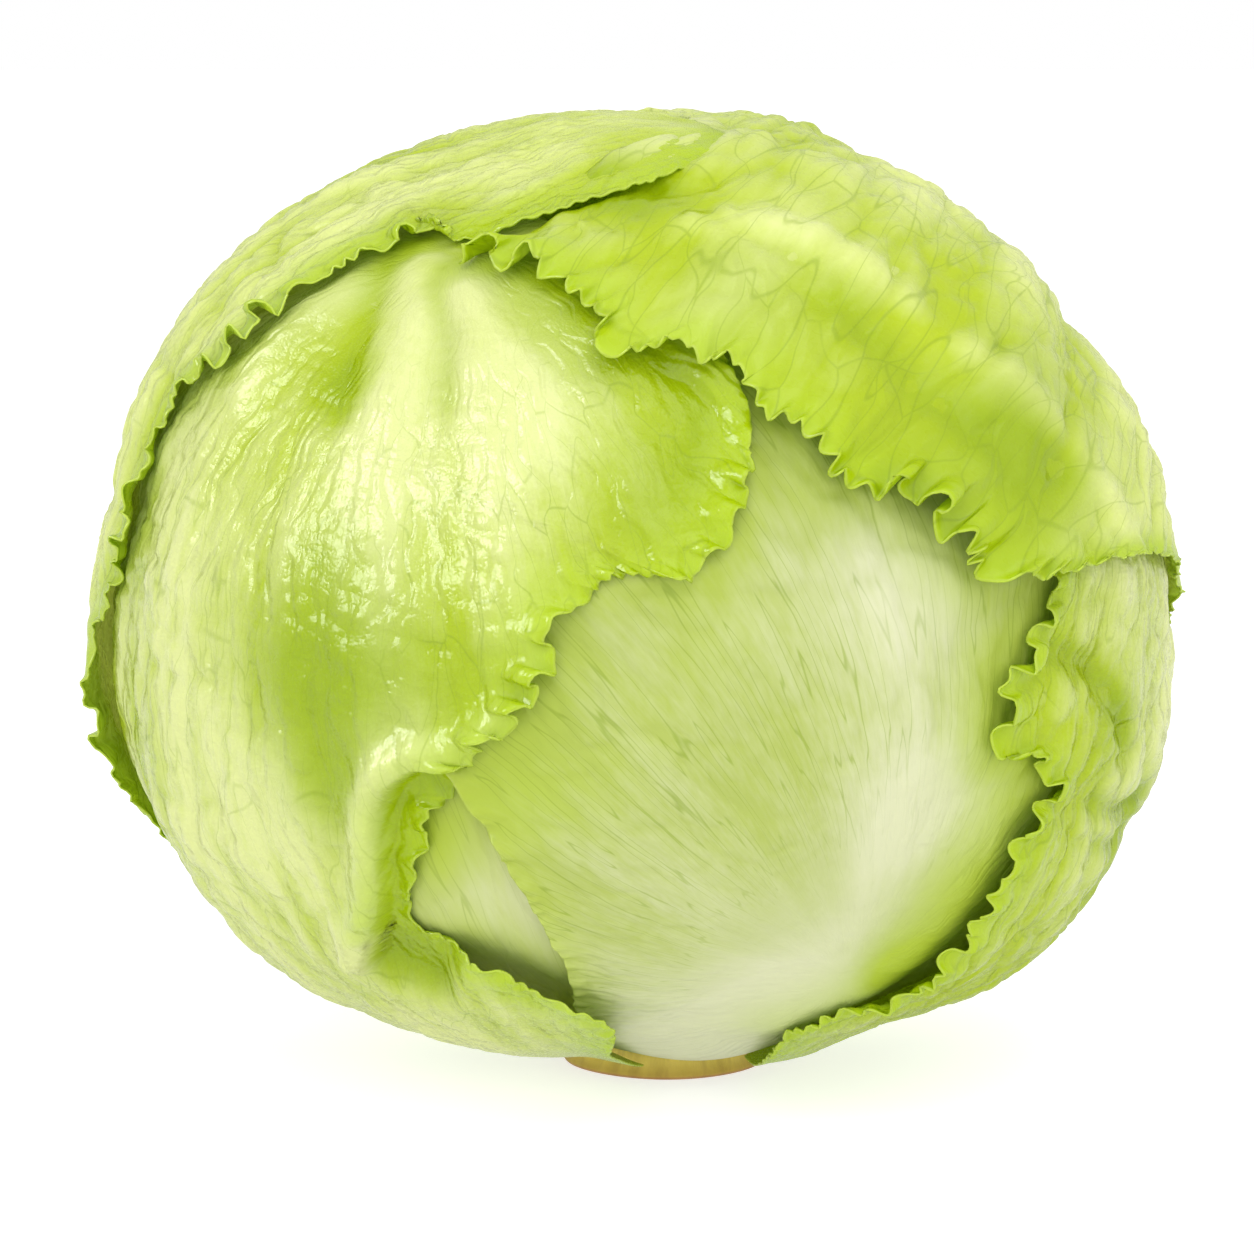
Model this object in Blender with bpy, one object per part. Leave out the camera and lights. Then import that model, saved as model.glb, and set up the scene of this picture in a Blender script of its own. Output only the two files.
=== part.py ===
"""Iceberg lettuce head, standing on its cut stem end.

The origin is the centre of the flat cut face, +Z is up and -Y is the front. Lengths below are in
millimetres and angles in degrees. A direction on the head is (azimuth, elevation) seen from
the head's centre: azimuth 0 is the front and grows towards +X, elevation 90 is the top.
"""

import bmesh
import bpy
import numpy as np
from mathutils import Vector

MM = 0.001

# The head as a whole
HEAD_CENTRE = np.array([-4.5, 0.0, 75.5])
HEAD_HALF_WIDTH = 85.0
HEAD_HALF_DEPTH = 83.0
HEAD_ABOVE_CENTRE = 75.5
HEAD_BELOW_CENTRE = 71.8
TOP_POWER = 2.0
BOTTOM_POWER = 2.5

# The stem, and the recess that it fills in the heart
STEM_FOOT_RADIUS = 16.5
STEM_TOP_RADIUS = 11.0
STEM_HEIGHT = 34.0
STEM_FOOT_BEVEL = 0.8
STEM_CORNERS = 40
STEM_GAP = 0.4

# How deep each leaf lies under the outer surface of the head
HEART_DEPTH = 13.5
INNER_LEFT_DEPTH = 10.0
FRONT_DEPTH = 7.0
MIDDLE_DEPTH = 3.6
TOP_LEFT_DEPTH = 1.0
TOP_RIGHT_RISE = 0.8

# The front leaf's rib
FRONT_RIB_AZIMUTH = 31.0
FRONT_RIB_WIDTH = 10.0
FRONT_RIB_HEIGHT = 1.4

# The blades
BLADE_THICKNESS = 0.8
RIB_THICKNESS = 2.0
LEAF_CLEARANCE = 2.0
BASE_GAP = 0.8
BASE_HEIGHT = 9.0
FRILL_REACH = 18.0
EDGE_REACH = 8.0
CURL = 0.25
TOOTH_LENGTH = 2.2
TOOTH_SPACING = 9.5
COLUMNS = np.array([-1, -0.965, -0.92, -0.85, -0.74, -0.58, -0.38, -0.13, 0.15, 0.45, 0.74, 0.92, 1])
CURVE_STEPS = 900
FLAT_NUDGE = 1e-6

# How the heart's wrapped leaves show
HEART_STEP = 0.9
HEART_LEAVES = 5


def direction(azimuth, elevation):
    """Unit vector of an azimuth and elevation."""
    a, e = np.radians(azimuth), np.radians(elevation)
    return np.stack([np.sin(a) * np.cos(e), -np.cos(a) * np.cos(e), np.sin(e) + 0 * a], axis=-1)


def unit(v):
    return v / np.linalg.norm(v, axis=-1, keepdims=True)


def smooth_step(x):
    x = np.clip(x, 0, 1)
    return x * x * (3 - 2 * x)


def higher(a, b, blend=1.0):
    """The larger of two fields, with the corner between them rounded off."""
    return 0.5 * (a + b + np.sqrt((a - b) ** 2 + blend**2))


def hill(d, azimuth, elevation, width):
    """Smooth hill of height 1 round one direction."""
    return np.exp((d @ direction(azimuth, elevation) - 1) / (1 - np.cos(np.radians(width))))


def ridges(d, start, end, count, height):
    """Ridges that run from one direction on the head to another, and fade out at both.

    The head is projected to a plane, where each ridge is a circle through the two points.
    """
    start, end = direction(*start), direction(*end)
    middle = unit(start + end)
    across = unit(np.cross(middle, start))
    up = np.cross(middle, across)

    def flat(p):
        return (p @ across + 1j * (p @ up)) / (1.0001 + p @ middle)

    arc = np.log((flat(d) - flat(start) + FLAT_NUDGE) / (flat(d) - flat(end) + FLAT_NUDGE))
    uneven = np.sin(count * arc.imag) + 0.6 * np.sin((count + 3) * arc.imag + 1.0)
    return height * uneven * smooth_step((3.2 - np.abs(arc.real)) / 2.2)


def lumps(d):
    """Broad uneven swellings that all the leaves share."""
    x, y, z = d[..., 0], d[..., 1], d[..., 2]
    return (
        0.9 * np.sin(5.1 * x + 3.2 * z + 0.6) * np.sin(4.3 * y - 2.1 * z + 1.1)
        + 0.6 * np.sin(8.7 * z - 4.9 * x + 2.0) * np.sin(7.7 * x + 5.5 * y)
    )


def head_radius(d):
    """Distance from the head's centre to its outer surface."""
    h = np.hypot(d[..., 0] / HEAD_HALF_WIDTH, d[..., 1] / HEAD_HALF_DEPTH)
    above = d[..., 2] > 0
    z = np.abs(d[..., 2]) / np.where(above, HEAD_ABOVE_CENTRE, HEAD_BELOW_CENTRE)
    power = np.where(above, TOP_POWER, BOTTOM_POWER)
    radius = (h**power + z**power) ** (-1 / power)
    radius += 3.0 * hill(d, -92, 52, 22) - 3.2 * hill(d, 95, 30, 20) - hill(d, 60, 60, 18)
    return radius + lumps(d) * smooth_step((0.95 + d[..., 2]) / 0.25)


def inner_left_radius(d):
    return head_radius(d) - INNER_LEFT_DEPTH + 5.5 * hill(d, -14, -72, 16)


def front_radius(d):
    """The front leaf, with its broad rib that swells towards the base."""
    azimuth = np.degrees(np.arctan2(d[..., 0], -d[..., 1]))
    from_rib = (azimuth - FRONT_RIB_AZIMUTH) * np.sqrt(1 - d[..., 2] ** 2)
    rib = np.exp(-((from_rib / FRONT_RIB_WIDTH) ** 2)) * smooth_step((0.1 - d[..., 2]) / 0.9)
    return head_radius(d) - FRONT_DEPTH + 6.0 * hill(d, 25, -74, 20) + FRONT_RIB_HEIGHT * rib


def left_radius(d):
    """The left leaf, with its folded lip: a ridge, and a panel sunk behind it."""
    own = head_radius(d) - MIDDLE_DEPTH + 3.0 * hill(d, -42, -66, 20)
    own += ridges(d, (-33, 50), (-12, -80), 9, 0.5)
    lip = hill(d, -34, -28, 5) + hill(d, -31.5, -20, 5) + hill(d, -27, -11, 5)
    panel = hill(d, -28, -28, 5) + hill(d, -26, -20, 4.5)
    return higher(own + 2.4 * lip - 4.0 * panel, front_radius(d) + LEAF_CLEARANCE - 3.0 * panel)


def right_radius(d):
    own = head_radius(d) - MIDDLE_DEPTH + 2.0 * hill(d, 60, -50, 24) + 3.5 * hill(d, 44, -66, 9)
    own += 3.6 * hill(d, 92, -18, 30) - 2.5 * hill(d, 25, 10, 16)
    crease = hill(d, 58, -2, 5) + hill(d, 60, -20, 5)
    return higher(own - 1.3 * crease, front_radius(d) + LEAF_CLEARANCE)


def back_radius(d):
    return head_radius(d) - MIDDLE_DEPTH


def top_left_radius(d):
    own = head_radius(d) - TOP_LEFT_DEPTH - 1.6 * hill(d, -22, 54, 12)
    own += ridges(d, (-120, -60), (-50, 84), 7, 0.45)
    return higher(own, left_radius(d) + LEAF_CLEARANCE)


def top_right_radius(d):
    """The outermost leaf sinks to what it lies on near its front edge."""
    front = hill(d, 18, 22, 26)
    own = head_radius(d) + TOP_RIGHT_RISE - 3.0 * front - 1.5 * hill(d, 32, 10, 12)
    own -= 1.8 * hill(d, -8, 60, 10)
    own += ridges(d, (108, -20), (-60, 30), 7, 0.5)
    own += 1.6 * hill(d, 197, 2, 20) + 1.2 * hill(d, 197, 38, 14)
    under_left = left_radius(d) - 5 * hill(d, 32, 12, 14)
    clearance = LEAF_CLEARANCE - 0.6 * hill(d, 85, 0, 22)
    radius = higher(own - 1.5 * hill(d, 85, 0, 22), higher(under_left, right_radius(d)) + clearance)
    lies_on = smooth_step((d @ direction(-110, 55) - 0.54) / 0.055)
    return higher(radius, top_left_radius(d) + LEAF_CLEARANCE * (2 * lies_on - 1))


# Each leaf has two margins and a rib, outlined from the stem to the tip as (azimuth, elevation).
# front is the margin that faces the viewer, with the height of its frill at each point, and back
# the one behind. base holds their azimuths on the stem, and cells run along the margins
LEAVES = {
    "leaf_inner_left": dict(
        colour=(0.55, 0.60, 0.24), radius=inner_left_radius, cells=16, base=(34, -22, -66),
        front=[(24, -60, 0), (12, -35, 0), (11, -10, 0), (4, 14, 0), (-8, 30, 0)],
        rib=[(-34, -60), (-36, -35), (-35, -5), (-32, 34)],
        back=[(-74, -60), (-77, -35), (-76, -10), (-69, 12), (-56, 30)],
        back_frill=0.4, teeth=(0, 0),
    ),
    "leaf_front": dict(
        colour=(0.57, 0.63, 0.24), radius=front_radius, cells=32, base=(-20, 26, 74),
        front=[(-12, -66, 0.5), (-10, -56, 1), (-10, -45, 1), (-10, -36, 1), (-13, -27, 1),
               (-17, -18, 1), (-22, -8, 0.5), (-26, 6, 0.3), (-24, 22, 0.3), (-8, 38, 0.3)],
        rib=[(31, -60), (32, -40), (31, -18), (31, 8), (28, 46)],
        back=[(78, -60), (80, -40), (80, -20), (76, 5), (58, 36)],
        back_frill=0.5, teeth=(1, 0),
    ),
    "leaf_left": dict(
        colour=(0.52, 0.64, 0.13), radius=left_radius, cells=54, base=(-12, -64, -116),
        front=[(-6, -60, 0.3), (-3.5, -47, 0.6), (-7, -41.5, 1), (-12, -39, 1.2), (-17.5, -35.5, 1.2),
               (-23, -33.5, 1.2), (-30, -31.5, 1.5), (-25.5, -21.5, 1), (-22, -14.2, 1.4),
               (-17.4, -8.5, 2.4), (-12.5, -5, 2), (-9, 0, 2.4), (-7.5, 6, 1.5), (-1, 10.5, 2.2),
               (5, 10, 2), (10, 14.5, 1.4), (12.5, 21, 1.8), (13, 29, 0.6), (6, 42, 0.4)],
        rib=[(-78, -60), (-84, -40), (-84, -15), (-80, 10), (-70, 36), (-48, 62)],
        back=[(-126, -60), (-129, -35), (-130, -10), (-128, 15), (-121, 38), (-104, 56)],
        back_frill=0.5, teeth=(1, 0),
    ),
    "leaf_right": dict(
        colour=(0.55, 0.65, 0.14), radius=right_radius, cells=44, base=(40, 82, 124),
        front=[(30, -60, 1), (26, -49, 1.6), (32, -44.5, 2.6), (38, -41.5, 3), (41.5, -36.5, 3),
               (43.5, -31, 2.6), (44.6, -25, 2.4), (46, -18.5, 2.4), (49.5, -15, 1.4),
               (45.3, -11.4, 2), (41.2, -9, 2.4), (42.5, -3, 2.6), (45, 1, 2), (48.5, 6.6, 1),
               (56, 20, 0.4), (68, 32, 0.4)],
        rib=[(86, -58), (87, -35), (86, -10), (87, 12), (88, 36)],
        back=[(124, -60), (126, -35), (126, -15), (122, 8), (108, 28)],
        back_frill=0.5, teeth=(1, 0),
    ),
    "leaf_back": dict(
        colour=(0.54, 0.65, 0.14), radius=back_radius, cells=16, base=(142, 180, 218),
        front=[(135, -58, 0.5), (132, -35, 0.5), (131, -10, 0.5), (137, 12, 0.5), (152, 32, 0.5)],
        rib=[(180, -55), (180, -30), (180, 5), (180, 40)],
        back=[(222, -58), (224, -35), (224, -10), (220, 12), (208, 32)],
        back_frill=0.5, teeth=(0, 0),
    ),
    "leaf_top_left": dict(
        colour=(0.53, 0.66, 0.11), radius=top_left_radius, cells=50, base=(-84, -122, -158),
        front=[(-98, -60, 0.6), (-98, -42, 0.8), (-94, -30, 1.2), (-87, -19, 1.5), (-84, -12, 1.5),
               (-82, -4, 1), (-76, 3, 1), (-70, 9, 1.5), (-69, 18, 2), (-65, 25, 1.5),
               (-57, 30, 3), (-52, 36, 3), (-49, 42, 1.5), (-44, 47, 2), (-38, 51, 2.5),
               (-30, 50, 2), (-16, 55, 0.4), (8, 63, 0.3), (36, 71, 0.3)],
        rib=[(-124, -60), (-120, -30), (-113, 0), (-106, 30), (-104, 56), (120, 86)],
        back=[(-159, -60), (-164, -30), (-168, 0), (-171, 28), (-176, 50), (170, 64)],
        back_frill=0.4, teeth=(1, 0),
    ),
    "leaf_top_right": dict(
        colour=(0.50, 0.63, 0.09), radius=top_right_radius, cells=74, base=(98, 134, 168),
        front=[(106, -58, 0.8), (112, -38, 0.8), (110, -20, 0.8), (100, -6, 0.6), (86, 2, 0.4),
               (73, 6, 0.4), (60, 8, 0.5), (46, 7.7, 0.8), (39, 7.8, 3), (36, 10.5, 5.5),
               (33.5, 13.8, 4.5), (30, 17.2, 1.6), (25.5, 18.3, 4.5), (21, 19.6, 5.5),
               (18.5, 24, 4), (14, 27, 2.2), (13, 31, 3), (6, 34.2, 1.6), (-3, 33.5, 2.6),
               (-5, 38, 3.5), (-16, 45, 3), (-30, 47, 1.5)],
        rib=[(136, -58), (136, -30), (130, 0), (120, 28), (100, 56), (50, 82)],
        back=[(174, -58), (189, -32), (200, -6), (202, 22), (199, 46), (208, 66)],
        back_frill=1.5, teeth=(1, 1),
    ),
}


def foot_on_stem(azimuth):
    """Direction from the head's centre to a leaf's base, beside the stem."""
    foot = direction(azimuth, 0) * (STEM_FOOT_RADIUS + BASE_GAP)
    return unit(foot + np.array([0, 0, BASE_HEIGHT]) - HEAD_CENTRE)


def along(azimuth, points, part):
    """Smooth curve from a leaf's base through outline points. At a part, 0 to 1, of its length, it
    gives the direction, the length up to there and the frill's height.
    """
    points = np.array(points, float)
    p = np.concatenate([[foot_on_stem(azimuth)], direction(points[:, 0], points[:, 1])])
    padded = np.concatenate([[2 * p[0] - p[1]], p, [2 * p[-1] - p[-2]]])
    t = np.linspace(0, len(p) - 1, CURVE_STEPS)
    k = np.minimum(t.astype(int), len(p) - 2)
    f = (t - k)[:, None]
    a, b, c, e = padded[k], padded[k + 1], padded[k + 2], padded[k + 3]
    bend = 2 * a - 5 * b + 4 * c - e
    curve = unit(0.5 * (2 * b + (c - a) * f + bend * f**2 + (3 * b - 3 * c + e - a) * f**3))
    steps = np.linalg.norm(np.diff(curve, axis=0), axis=1)
    lengths = np.concatenate([[0], np.cumsum(steps)])
    s = part * lengths[-1]
    here = unit(np.stack([np.interp(s, lengths, curve[:, i]) for i in range(3)], axis=-1))
    frill = np.concatenate([[0], points[:, 2]]) if points.shape[1] == 3 else np.zeros(len(p))
    return here, s * HEAD_HALF_WIDTH, np.interp(np.interp(s, lengths, t), np.arange(len(p)), frill)


def leaf_directions(leaf, across, up):
    """Directions of a leaf's points: across is -1 at the front margin, 0 at the rib and 1 at the
    back margin, and up runs from 0 at the stem to 1 at the tip. Each row is a parabola through
    the three outlines.
    """
    front, front_length, frill = along(leaf["base"][0], leaf["front"], up)
    rib, _, _ = along(leaf["base"][1], leaf["rib"], up)
    back, back_length, _ = along(leaf["base"][2], leaf["back"], up)
    w = across[..., None]
    d = unit(front * (w * (w - 1) / 2) + rib * (1 - w * w) + back * (w * (w + 1) / 2))
    is_front = across < 0
    margin = np.where(is_front[..., None], front, back)
    cosine = np.clip(np.sum(d * margin, axis=-1), -1, 1)
    from_margin = np.arccos(cosine) * HEAD_HALF_WIDTH
    length = np.where(is_front, front_length, back_length)
    return d, from_margin, length, np.where(is_front, frill, leaf["back_frill"])


def leaf_points(leaf, across, up):
    """Points of a leaf's outer face, with its frilled and toothed margins, in millimetres."""
    d, from_margin, length, frill = leaf_directions(leaf, across, up)
    fade = smooth_step((up - 0.05) / 0.12)
    near = smooth_step(1 - from_margin / FRILL_REACH) * fade
    edge = smooth_step(1 - from_margin / EDGE_REACH) * fade

    # Teeth stretch the last rows past the margin
    tooth = np.abs((length / TOOTH_SPACING) % 1 - 0.5) * 2 * (0.6 + 0.4 * np.sin(length / 13))
    teeth = np.where(across < 0, *leaf["teeth"]) * TOOTH_LENGTH * tooth * near**3
    half_width = leaf_directions(leaf, np.sign(across + 1e-6) * 0.8, up)[1] / 0.2

    # A long wave lifts the border and a short one its edge, which curls back where it is highest
    long_wave = np.sin(length / 4.2 + 1.2 * np.sin(length / 23))
    short_wave = np.sin(length / 1.9 + 1.5 * np.sin(length / 9))
    lift = frill * (near * (0.18 + 0.16 * long_wave) + edge * (0.42 + 0.42 * short_wave))
    curl = CURL * frill * edge * (0.2 + short_wave)
    d, _, _, _ = leaf_directions(leaf, across * (1 + (teeth - curl) / half_width), up)
    return HEAD_CENTRE + d * (leaf["radius"](d) + lift)[..., None]


def make_material(name, colour, roughness):
    material = bpy.data.materials.new(name)
    material.use_nodes = True
    shader = material.node_tree.nodes["Principled BSDF"]
    shader.inputs["Base Color"].default_value = (*colour, 1)
    shader.inputs["Roughness"].default_value = roughness
    shader.inputs["Metallic"].default_value = 0
    return material


def add_object(name, bm, colour, roughness):
    mesh = bpy.data.meshes.new(name)
    bm.to_mesh(mesh)
    bm.free()
    mesh.shade_smooth()
    mesh.materials.append(make_material(name, colour, roughness))
    obj = bpy.data.objects.new(name, mesh)
    bpy.context.scene.collection.objects.link(obj)
    return obj


def add_leaf(name, leaf):
    """A blade, laid out as a grid, split into triangles and then thickened inwards."""
    columns = len(COLUMNS) - 1
    bm = bmesh.new()
    bmesh.ops.create_grid(bm, x_segments=columns, y_segments=leaf["cells"], size=1)
    place = (np.array([vertex.co[:2] for vertex in bm.verts]) + 1) / 2
    across = COLUMNS[np.rint(place[:, 0] * columns).astype(int)]
    up = place[:, 1]
    for vertex, point in zip(bm.verts, leaf_points(leaf, across, up)):
        vertex.co = point * MM
    bmesh.ops.triangulate(bm, faces=bm.faces[:])
    bm.normal_update()
    centre = Vector(HEAD_CENTRE * MM)
    if sum(face.normal.dot(face.calc_center_median() - centre) for face in bm.faces) < 0:
        bmesh.ops.reverse_faces(bm, faces=bm.faces[:])
    obj = add_object(name, bm, leaf["colour"], 0.45)

    # The blade is thickest along the rib near its base
    rib = obj.vertex_groups.new(name="rib")
    weight = (1 - smooth_step(np.abs(across) / 0.5)) * (1 - smooth_step(up / 0.5))
    for index, value in enumerate(weight):
        rib.add([index], float(value), "REPLACE")
    solid = obj.modifiers.new("thickness", "SOLIDIFY")
    solid.thickness = RIB_THICKNESS * MM
    solid.offset = -1
    solid.vertex_group = "rib"
    solid.thickness_vertex_group = BLADE_THICKNESS / RIB_THICKNESS
    return obj


def add_stem():
    """Turned stub, a little out of round, with its cut edge bevelled."""
    bm = bmesh.new()
    bmesh.ops.create_cone(
        bm, cap_ends=True, segments=STEM_CORNERS, depth=STEM_HEIGHT * MM,
        radius1=STEM_FOOT_RADIUS * MM, radius2=STEM_TOP_RADIUS * MM,
    )
    for vertex in bm.verts:
        vertex.co.z += STEM_HEIGHT / 2 * MM
        angle = np.arctan2(vertex.co.y, vertex.co.x)
        uneven = 1 - 0.012 * (1 + np.sin(3 * angle + 0.5)) - 0.008 * (1 + np.sin(5 * angle))
        vertex.co.x *= uneven
        vertex.co.y *= uneven
    foot = [edge for edge in bm.edges if max(v.co.z for v in edge.verts) < MM]
    bmesh.ops.bevel(bm, geom=foot, offset=STEM_FOOT_BEVEL * MM, segments=2, affect="EDGES")
    return add_object("stem", bm, (0.46, 0.31, 0.06), 0.7)


def add_heart():
    """Packed inner leaves: a ball whose surface steps down at each leaf's slanting edge."""
    bm = bmesh.new()
    bmesh.ops.create_uvsphere(bm, u_segments=32, v_segments=18, radius=1)
    for vertex in bm.verts:
        d = unit(np.array(vertex.co))
        turn = np.arctan2(d[0], -d[1]) / (2 * np.pi) * HEART_LEAVES + 1.1 * d[2]
        step = HEART_STEP * (2 * (turn % 1) - 1) * (1 - abs(d[2]) ** 4)
        point = HEAD_CENTRE + d * (head_radius(d[None])[0] - HEART_DEPTH + step)
        vertex.co = point * MM
    heart = add_object("heart", bm, (0.68, 0.72, 0.30), 0.5)

    bm = bmesh.new()
    bmesh.ops.create_cone(
        bm, cap_ends=True, segments=STEM_CORNERS, depth=(STEM_HEIGHT + STEM_GAP) * MM,
        radius1=(STEM_FOOT_RADIUS + STEM_GAP) * MM, radius2=(STEM_TOP_RADIUS + STEM_GAP) * MM,
    )
    for vertex in bm.verts:
        vertex.co.z += (STEM_HEIGHT + STEM_GAP) / 2 * MM
    recess = add_object("stem_recess", bm, (0.8, 0.8, 0.8), 0.5)
    recess.hide_render = True
    recess.display_type = "WIRE"
    cut = heart.modifiers.new("recess", "BOOLEAN")
    cut.operation = "DIFFERENCE"
    cut.object = recess
    return heart


for old in list(bpy.data.objects):
    bpy.data.objects.remove(old, do_unlink=True)

add_stem()
add_heart()
for leaf_name, leaf_shape in LEAVES.items():
    add_leaf(leaf_name, leaf_shape)
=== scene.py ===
import bpy
import numpy as np
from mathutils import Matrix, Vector


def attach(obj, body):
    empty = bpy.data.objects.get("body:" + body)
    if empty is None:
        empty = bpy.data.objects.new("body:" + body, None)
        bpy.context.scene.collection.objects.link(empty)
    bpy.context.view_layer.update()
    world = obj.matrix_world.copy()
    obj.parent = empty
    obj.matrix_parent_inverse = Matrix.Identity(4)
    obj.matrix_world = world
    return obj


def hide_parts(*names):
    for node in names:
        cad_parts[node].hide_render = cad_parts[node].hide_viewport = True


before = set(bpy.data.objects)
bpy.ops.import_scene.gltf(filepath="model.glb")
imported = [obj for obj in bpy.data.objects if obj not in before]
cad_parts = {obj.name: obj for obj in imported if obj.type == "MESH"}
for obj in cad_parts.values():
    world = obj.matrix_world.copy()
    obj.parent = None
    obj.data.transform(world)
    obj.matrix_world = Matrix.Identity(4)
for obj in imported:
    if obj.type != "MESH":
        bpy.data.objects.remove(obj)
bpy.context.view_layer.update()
print("frame loaded")

# Lengths are in millimetres and angles in degrees until a mesh is made. A direction on the head is
# (azimuth, elevation) from the head's centre: azimuth 0 is the front, 90 is +X, elevation 90 the top
mm = 0.001
head = dict(centre=np.array([-4.5, 0.0, 75.5]), halfWidth=85.0, halfDepth=83.0, above=75.5,
            below=71.8, topPower=2.0, bottomPower=2.5)
# How far inside the head's surface each layer lies
depths = dict(heart=13.5, innerLeft=10.0, front=7.0, middle=3.6, topLeft=1.0, topRight=-0.8)
clearance = 2.0          # between a leaf and the one it lies on
stemFoot = dict(radius=16.5, gap=0.8, height=9.0)          # where the leaves start, beside the stem
# How far in from a margin its frill, its folds and its ripples reach, how far apart they and the
# teeth stand, and the thickness at the margin and inside it, with what the rib adds
blade = dict(frillReach=17.0, edgeReach=7.0, brimReach=3.0, broadSpacing=31.0, frillSpacing=8.2,
             rippleSpacing=3.4, toothSpacing=11.0, toothLength=1.8, smallToothSpacing=2.6,
             smallToothLength=0.6, thin=0.3, thick=0.8, rib=1.2)
# Sizes of the patterns on every leaf, along the veins and across them
patterns = dict(pleats=(80, 8.5), finePleats=(45, 3.8), dents=22, fineDents=11, bend=12,
                cushions=(15, 8), small=(6.5, 4.4), streaks=(65, 4.6), fineStreaks=(35, 2.1),
                patches=(34, 19))


def direction(azimuth, elevation):
    # Unit vector of an azimuth and an elevation
    a, e = np.radians(azimuth), np.radians(elevation)
    return np.stack([np.sin(a) * np.cos(e), -np.cos(a) * np.cos(e), np.sin(e) + 0 * a], axis=-1)


def unit(v):
    # Each vector divided by its length
    return v / np.linalg.norm(v, axis=-1, keepdims=True)


def smoothStep(x):
    # 0 below 0, 1 above 1, and a smooth S between
    x = np.clip(x, 0, 1)
    return x * x * (3 - 2 * x)


def higher(a, b, blend=1.0):
    # The larger of two fields, with the corner between them rounded off
    return 0.5 * (a + b + np.sqrt((a - b) ** 2 + blend**2))


def hill(d, azimuth, elevation, width):
    # Smooth hill of height 1 round one direction
    return np.exp((d @ direction(azimuth, elevation) - 1) / (1 - np.cos(np.radians(width))))


def hills(d, places):
    # Sum of hills given as (azimuth, elevation, width, height)
    total = np.zeros(d.shape[:-1])
    for azimuth, elevation, width, height in places:
        total += height * hill(d, azimuth, elevation, width)
    return total


def flowMap(d, start, end):
    # Logarithm of minus the ratio of distances, on a plane, to two places on the head: its real part
    # runs along the lines from one place to the other and its imaginary part counts across them
    start, end = direction(*start), direction(*end)
    middle = unit(start + end)
    across = unit(np.cross(middle, start))
    up = np.cross(middle, across)

    def flat(p):
        return (p @ across + 1j * (p @ up)) / (1.0001 + p @ middle)

    return np.log(-(flat(d) - flat(start) + 1e-6) / (flat(d) - flat(end) + 1e-6))


def ridges(d, start, end, count, height):
    # Ridges that run from one place to another and fade out at both
    arc = flowMap(d, start, end)
    turn = arc.imag + np.pi
    uneven = np.sin(count * turn) + 0.6 * np.sin((count + 3) * turn + 1.0)
    return height * uneven * smoothStep((3.2 - np.abs(arc.real)) / 2.2)


def curveThrough(p, count):
    # Catmull-Rom curve through directions
    padded = np.concatenate([[2 * p[0] - p[1]], p, [2 * p[-1] - p[-2]]])
    t = np.linspace(0, len(p) - 1, count)
    k = np.minimum(t.astype(int), len(p) - 2)
    f = (t - k)[:, None]
    a, b, c, e = padded[k], padded[k + 1], padded[k + 2], padded[k + 3]
    bend = 2 * a - 5 * b + 4 * c - e
    return unit(0.5 * (2 * b + (c - a) * f + bend * f**2 + (3 * b - 3 * c + e - a) * f**3)), t


def nearCurve(d, points, reach):
    # Signed distance in mm from a smooth curve on the head, positive on its right, and how far past
    # its ends a direction lies; both are 1000 outside the reach
    curve, _ = curveThrough(direction(*np.array(points, float).T), 60)
    shape = d.shape[:-1]
    flatD = d.reshape(-1, 3)
    side = np.full(len(flatD), 1e3)
    past = np.full(len(flatD), 1e3)
    middle = unit(curve.mean(axis=0))
    widest = np.arccos(np.clip(curve @ middle, -1, 1)).max() + reach / head["halfWidth"]
    close = np.flatnonzero(flatD @ middle > np.cos(min(widest, 3.1)))
    if len(close):
        near = flatD[close]
        k = np.argmax(near @ curve.T, axis=1)
        ahead = np.minimum(k, len(curve) - 2)
        normals = unit(np.cross(curve[:-1], curve[1:]))
        tilt = np.arcsin(np.clip(np.sum(near * normals[ahead], axis=1), -1, 1))
        side[close] = -tilt * head["halfWidth"]
        away = np.arccos(np.clip(np.sum(near * curve[k], axis=1), -1, 1)) * head["halfWidth"]
        past[close] = np.sqrt(np.maximum(away**2 - side[close] ** 2, 0))
    return side.reshape(shape), past.reshape(shape)


def folds(d, lines):
    # Sum of rounded ridges or creases along curves, given as (points, width, height)
    total = np.zeros(d.shape[:-1])
    for points, width, height in lines:
        side, past = nearCurve(d, points, 3 * width)
        total += height * np.exp(-((side / width) ** 2) - (past / (1.5 * width)) ** 2)
    return total


def underEdges(d, edges):
    # How close a place is to the edges of the leaves that lie over it, given as (outline, width)
    total = np.zeros(d.shape[:-1])
    for outline, width in edges:
        side, past = nearCurve(d, [point[:2] for point in outline], 3 * width)
        total = np.maximum(total, np.exp(-(side**2 + past**2) / width**2))
    return total


def randomAt(i, j, seed):
    # A fixed random number from 0 to 1 for each lattice point
    n = (i * 374761393 + j * 668265263 + seed * 974634777) & 0xFFFFFFFF
    n = ((n ^ (n >> 13)) * 1274126177) & 0xFFFFFFFF
    return ((n ^ (n >> 16)) & 0xFFFFFF) / 0xFFFFFF


def softNoise(p, seed):
    # Random heights from -1 to 1 on a flat lattice, blended smoothly between its points
    base = np.floor(p).astype(np.int64)
    f = smoothStep(p - base)
    total = np.zeros(p.shape[:-1])
    for i in (0, 1):
        for j in (0, 1):
            share = (f[..., 0] if i else 1 - f[..., 0]) * (f[..., 1] if j else 1 - f[..., 1])
            total += share * randomAt(base[..., 0] + i, base[..., 1] + j, seed)
    return 2 * total - 1


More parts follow.
